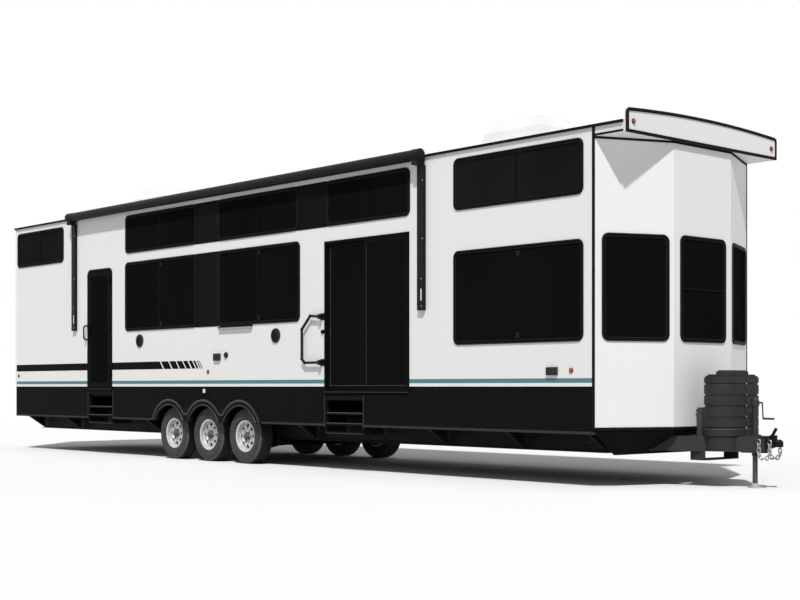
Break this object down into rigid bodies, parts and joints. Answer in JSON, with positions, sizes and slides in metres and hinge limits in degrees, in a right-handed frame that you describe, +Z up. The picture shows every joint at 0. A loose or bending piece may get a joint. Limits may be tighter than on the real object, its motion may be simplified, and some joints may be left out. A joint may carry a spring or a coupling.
{
  "type": "travel trailer",
  "caption": "Long travel trailer with a three-sided front bay under a hood, three axles, side windows, an entry door, a sliding patio door, a rolled awning and an A-frame tongue on its jack.",
  "frame": {"origin": "on the ground below the middle of the trailer's length, on the body's centre line", "axes": "+X forward towards the hitch, +Y to the trailer's left, so the door side faces -Y, +Z up"},
  "size_m": [13.536, 2.7768, 4.074],
  "materials": {
    "wall_white": "smooth gelcoat panel",
    "roof_white": "white roof membrane",
    "floor_wood": "plywood deck",
    "trim_black": "satin black trim",
    "skirt_black": "satin black panel",
    "chassis_steel": "painted chassis steel",
    "glass_dark": "dark tinted glass",
    "chain_zinc": "zinc plated chain",
    "cover_black": "moulded black cover",
    "box_grey": "grey moulded box",
    "tyre_rubber": "black tyre rubber",
    "rim_silver": "silver painted rim",
    "lens_amber": "amber lens",
    "unit_white": "white moulded shroud",
    "awning_black": "black painted awning metal"
  },
  "bodies": {
    "root": {"roof": "roof_white", "front_hood": "wall_white", "side_wall_right": "wall_white", "side_wall_left": "wall_white", "rear_wall": "wall_white", "front_wall": "wall_white", "floor": "floor_wood", "skirt_right": "skirt_black", "skirt_left": "skirt_black", "skirt_rear": "skirt_black", "front_apron": "skirt_black", "main_rails": "chassis_steel", "cross_members": "chassis_steel", "underbelly": "trim_black", "tongue_frame": "chassis_steel", "coupler": "chassis_steel", "safety_chains": "chain_zinc", "tongue_jack": "chassis_steel", "gas_cover": "cover_black", "battery_box": "box_grey", "axles": "chassis_steel", "leaf_springs": "chassis_steel", "fenders": "trim_black", "window_frames": "trim_black", "window_panes": "glass_dark", "entry_door_frame": "trim_black", "patio_door_frame": "trim_black", "awning_roller": "awning_black", "awning_arms": "awning_black", "entry_steps": "chassis_steel", "air_conditioners": "unit_white", "roof_vents": "unit_white", "wall_trim": "trim_black", "lamps": "lens_amber", "side_fittings": "trim_black"},
    "entry_door": {"entry_door": "trim_black"},
    "patio_slider": {"patio_slider": "trim_black"},
    "assist_handle": {"assist_handle": "trim_black"},
    "gas_cover_lid": {"gas_cover_lid": "cover_black"},
    "wheel_right_1": {"tyre_right_1": "tyre_rubber", "rim_right_1": "rim_silver"},
    "wheel_right_2": {"tyre_right_2": "tyre_rubber", "rim_right_2": "rim_silver"},
    "wheel_right_3": {"tyre_right_3": "tyre_rubber", "rim_right_3": "rim_silver"},
    "wheel_left_1": {"tyre_left_1": "tyre_rubber", "rim_left_1": "rim_silver"},
    "wheel_left_2": {"tyre_left_2": "tyre_rubber", "rim_left_2": "rim_silver"},
    "wheel_left_3": {"tyre_left_3": "tyre_rubber", "rim_left_3": "rim_silver"}
  },
  "joints": [
    {"name": "spin_right_1", "type": "hinge", "parent": "root", "child": "wheel_right_1", "pos_m": [-2.163, -1.1275, 0.3595], "axis": [0, 1, 0], "continuous": true},
    {"name": "spin_right_2", "type": "hinge", "parent": "root", "child": "wheel_right_2", "pos_m": [-1.325, -1.1275, 0.3595], "axis": [0, 1, 0], "continuous": true},
    {"name": "spin_right_3", "type": "hinge", "parent": "root", "child": "wheel_right_3", "pos_m": [-0.487, -1.1275, 0.3595], "axis": [0, 1, 0], "continuous": true},
    {"name": "spin_left_1", "type": "hinge", "parent": "root", "child": "wheel_left_1", "pos_m": [-2.163, 1.1275, 0.3595], "axis": [0, 1, 0], "continuous": true},
    {"name": "spin_left_2", "type": "hinge", "parent": "root", "child": "wheel_left_2", "pos_m": [-1.325, 1.1275, 0.3595], "axis": [0, 1, 0], "continuous": true},
    {"name": "spin_left_3", "type": "hinge", "parent": "root", "child": "wheel_left_3", "pos_m": [-0.487, 1.1275, 0.3595], "axis": [0, 1, 0], "continuous": true},
    {"name": "entry_door_swing", "type": "hinge", "parent": "root", "child": "entry_door", "pos_m": [-3.75, -1.315, 1.85], "axis": [0, 0, 1], "range_deg": [0, 110]},
    {"name": "patio_door_slide", "type": "slide", "parent": "root", "child": "patio_slider", "axis": [1, 0, 0], "range_m": [0, 0.67]},
    {"name": "assist_handle_swing", "type": "hinge", "parent": "root", "child": "assist_handle", "pos_m": [1.207, -1.341, 1.573], "axis": [0, 0, 1], "range_deg": [0, 90]},
    {"name": "gas_cover_lid_lift", "type": "hinge", "parent": "root", "child": "gas_cover_lid", "pos_m": [6.065, 0, 1.134], "axis": [0, -1, 0], "range_deg": [0, 100]}
  ]
}
